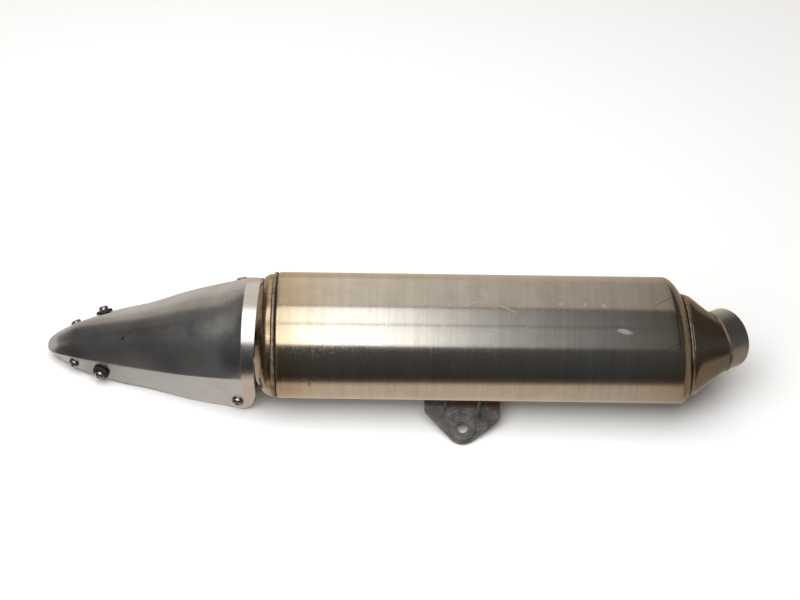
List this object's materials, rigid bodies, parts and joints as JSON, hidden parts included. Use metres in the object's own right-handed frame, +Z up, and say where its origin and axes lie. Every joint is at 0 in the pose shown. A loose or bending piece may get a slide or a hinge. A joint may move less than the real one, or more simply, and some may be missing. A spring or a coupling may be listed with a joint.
{
  "type": "exhaust muffler",
  "caption": "Round steel exhaust muffler with an angled inlet pipe, a pressed hanger with one bolt hole, and a slipper-shaped metal cover over its outlet.",
  "frame": {"origin": "middle of the muffler's box, on the surface it lies on", "axes": "+X along the can to the inlet, -Y to the hanger, +Z up; the muffler lies on its rear weld and the hanger's tip"},
  "size_m": [0.6744, 0.1558, 0.1199],
  "materials": {
    "brushed_steel": "brushed stainless sheet with a heat tint",
    "weld_steel": "rippled weld bead with a brown heat tint",
    "inner_steel": "plain steel sheet, dull from heat",
    "glass_wool": "matted glass fibre",
    "polished_aluminium": "polished sheet with fine scuffs",
    "screw_steel": "bright turned steel",
    "black_rubber": "matt black rubber",
    "hanger_steel": "matt dark steel, pitted and stained"
  },
  "bodies": {
    "root": {"can_end_nut_lower": "screw_steel", "can_end_nut_upper": "screw_steel", "can_end_screw_lower": "screw_steel", "can_end_screw_upper": "screw_steel", "can_end_tab_lower": "hanger_steel", "can_end_tab_upper": "hanger_steel", "can_shell": "brushed_steel", "cover_shell": "polished_aluminium", "cover_stay": "hanger_steel", "front_baffle": "inner_steel", "front_weld_bead": "weld_steel", "glass_wool_lining": "glass_wool", "hanger_boss": "hanger_steel", "hanger_gusset_front": "hanger_steel", "hanger_gusset_rear": "hanger_steel", "hanger_plate": "hanger_steel", "hanger_weld_bead": "weld_steel", "inlet_cone": "brushed_steel", "inlet_core_tube": "inner_steel", "inlet_pipe": "brushed_steel", "inlet_weld_bead": "weld_steel", "inner_liner": "inner_steel", "middle_baffle": "inner_steel", "middle_bridge": "hanger_steel", "middle_grommet_lower": "black_rubber", "middle_grommet_upper": "black_rubber", "middle_nut_lower": "screw_steel", "middle_nut_upper": "screw_steel", "middle_screw_lower": "screw_steel", "middle_screw_upper": "screw_steel", "nose_bridge": "hanger_steel", "nose_nut_lower": "screw_steel", "nose_nut_upper": "screw_steel", "nose_screw_lower": "screw_steel", "nose_screw_upper": "screw_steel", "outlet_core_tube": "inner_steel", "rear_baffle": "inner_steel", "rear_bulkhead": "inner_steel", "rear_weld_bead": "weld_steel", "tailpipe": "brushed_steel", "tailpipe_weld_bead": "weld_steel", "transfer_tube_lower": "inner_steel", "transfer_tube_upper": "inner_steel"}
  },
  "joints": []
}
